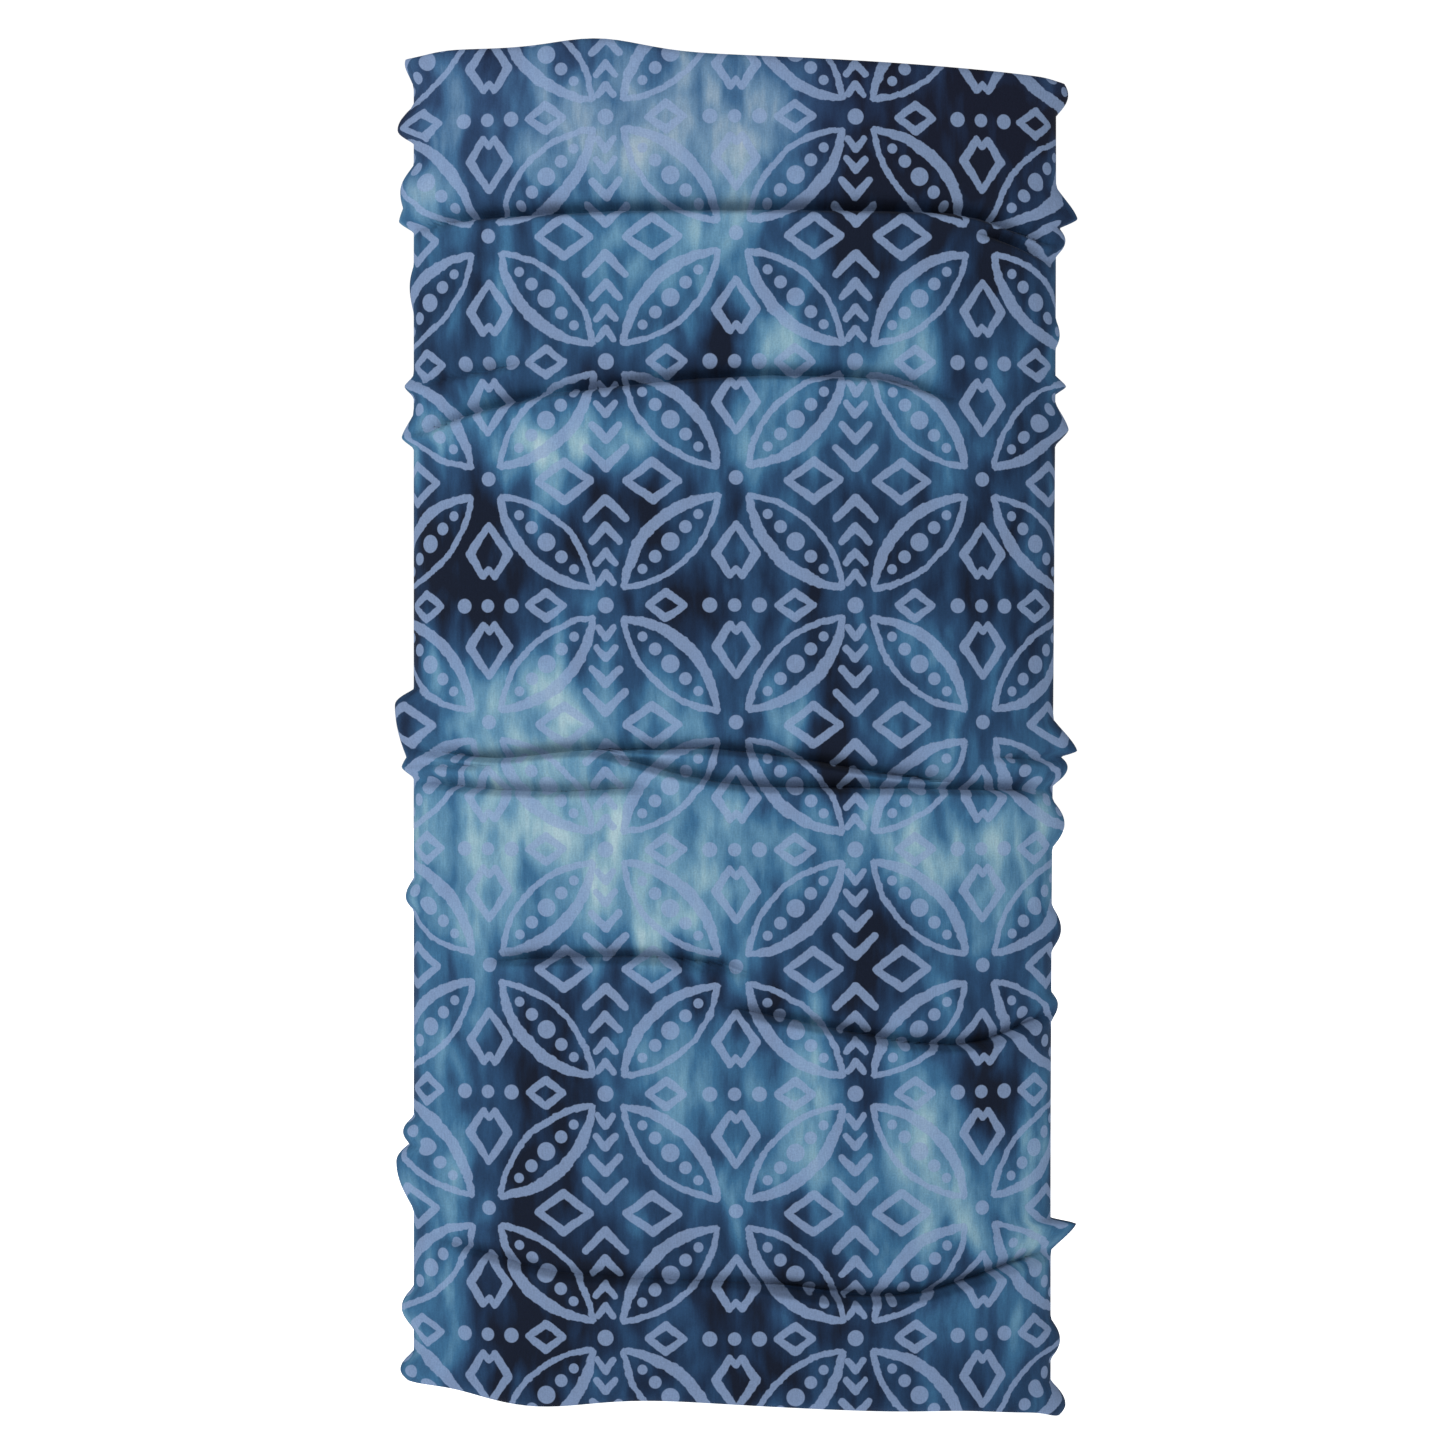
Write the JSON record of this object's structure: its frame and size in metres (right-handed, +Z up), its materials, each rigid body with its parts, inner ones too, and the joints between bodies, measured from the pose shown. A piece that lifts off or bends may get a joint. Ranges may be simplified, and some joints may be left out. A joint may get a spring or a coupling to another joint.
{
  "type": "neck gaiter",
  "caption": "Long open tube of thin stretch knit worn over the neck and face, raw cut edges, printed outside, flatlock seam down the back with a small label inside.",
  "frame": {"origin": "centre of the bottom opening, where the neck comes in", "axes": "+Z up along the tube, +X to the wearer's left as seen from the front (right in a front view), printed front faces -Y, seam at +Y"},
  "size_m": [0.238, 0.0554, 0.5019],
  "materials": {
    "knit": "fine jersey knit, printed outside, pale inside",
    "thread": "textured polyester sewing thread",
    "label": "blank woven satin"
  },
  "bodies": {
    "tube": {"tube_panel": "knit", "needle_thread_1": "thread", "needle_thread_2": "thread", "needle_thread_3": "thread", "needle_thread_4": "thread", "cover_thread": "thread", "looper_thread": "thread"},
    "label": {"care_label": "label"}
  },
  "joints": [
    {"name": "label_swing", "type": "hinge", "parent": "tube", "child": "label", "pos_m": [0.0034, 0.02485, 0.059], "axis": [0, 0, -1], "range_deg": [0, 165]}
  ]
}
